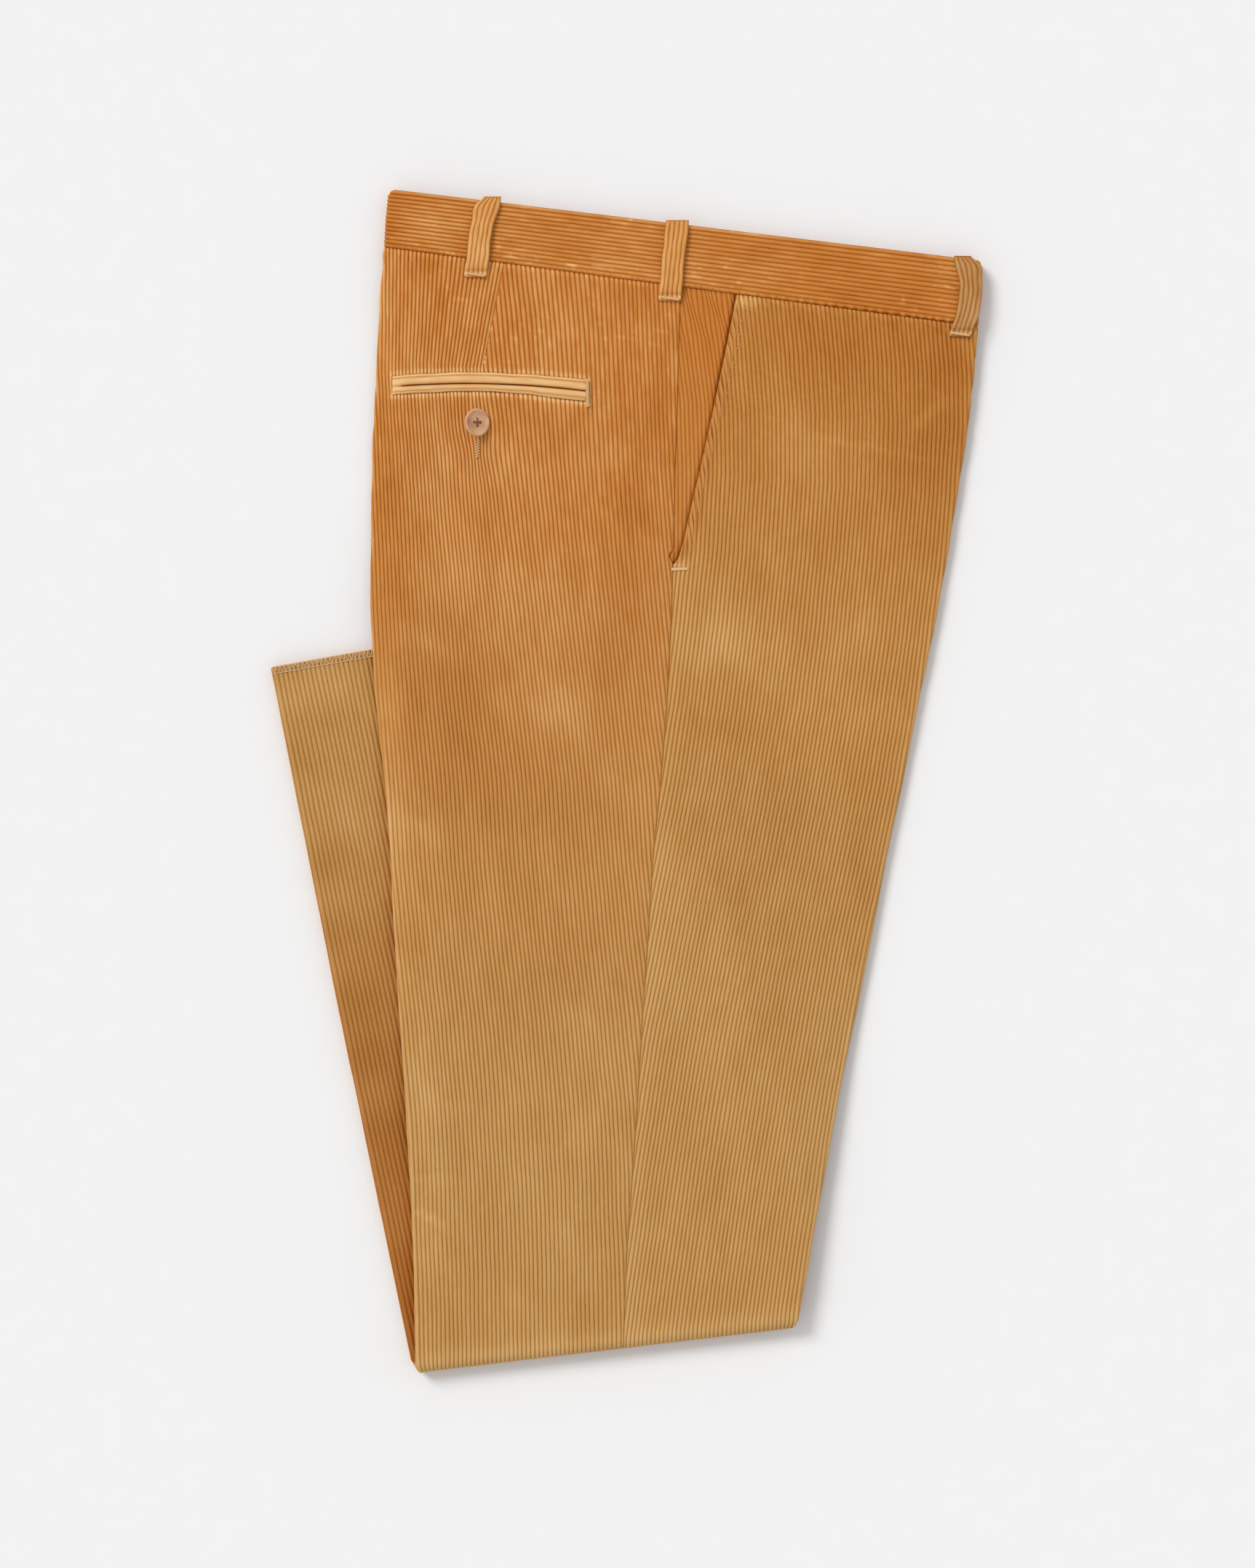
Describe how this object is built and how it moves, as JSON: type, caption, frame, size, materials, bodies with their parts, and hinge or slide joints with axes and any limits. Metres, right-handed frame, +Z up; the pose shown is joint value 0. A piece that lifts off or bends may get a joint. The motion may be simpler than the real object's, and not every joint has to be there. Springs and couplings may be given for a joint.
{
  "type": "folded corduroy trousers",
  "caption": "Corduroy trousers pressed flat along their creases and folded once below the knee, to lie on a shelf or surface; waistband with loops, slanted side pocket, buttoned back pocket.",
  "frame": {"origin": "on the surface it lies on, under the middle of its outline", "axes": "+Z up out of the surface, +Y towards the waistband, +X towards the front creases"},
  "size_m": [0.4511, 0.7495, 0.0186],
  "materials": {
    "corduroy": "cotton corduroy, cut pile wales, matt with a soft sheen",
    "corduroy_trim": "the same corduroy, paler where the pile lies flat",
    "cloth_back": "plain back of the corduroy",
    "button": "horn-like, half gloss",
    "thread": "cotton sewing thread"
  },
  "bodies": {
    "root": {"right_back_panel": "corduroy", "right_front_panel": "corduroy", "left_back_panel": "corduroy", "left_front_panel": "corduroy", "pocket_facing": "corduroy", "inner_layers": "cloth_back", "right_waistband": "corduroy", "left_waistband": "corduroy", "belt_loop_back": "corduroy_trim", "belt_loop_side": "corduroy_trim", "belt_loop_front": "corduroy_trim", "pocket_jet_upper": "corduroy_trim", "pocket_jet_lower": "corduroy_trim", "button": "button"}
  },
  "joints": []
}
